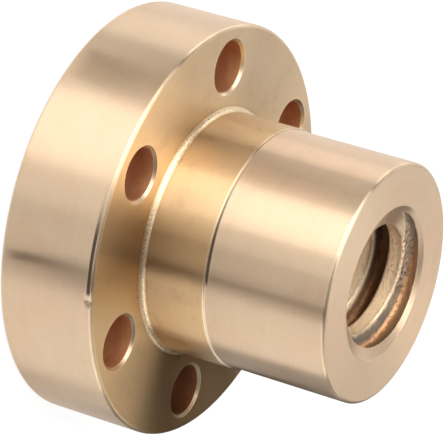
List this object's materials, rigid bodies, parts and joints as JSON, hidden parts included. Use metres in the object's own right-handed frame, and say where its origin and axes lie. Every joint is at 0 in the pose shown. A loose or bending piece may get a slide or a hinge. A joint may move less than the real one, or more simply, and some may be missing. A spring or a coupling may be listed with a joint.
{
  "type": "lead screw nut",
  "caption": "Flanged bronze lead screw nut: a thick round flange with a ring of bolt holes, a plain cylindrical register and body, and a coarse trapezoidal thread right through.",
  "frame": {"origin": "on the screw axis, at the flange's back face", "axes": "+Z along the screw axis from the flange towards the body's free end; +X through the centre of one bolt hole"},
  "size_m": [0.048, 0.048, 0.035],
  "materials": {
    "bronze": "fine-turned satin bronze with slight tarnish in the thread"
  },
  "bodies": {
    "root": {"flanged_nut": "bronze"}
  },
  "joints": []
}
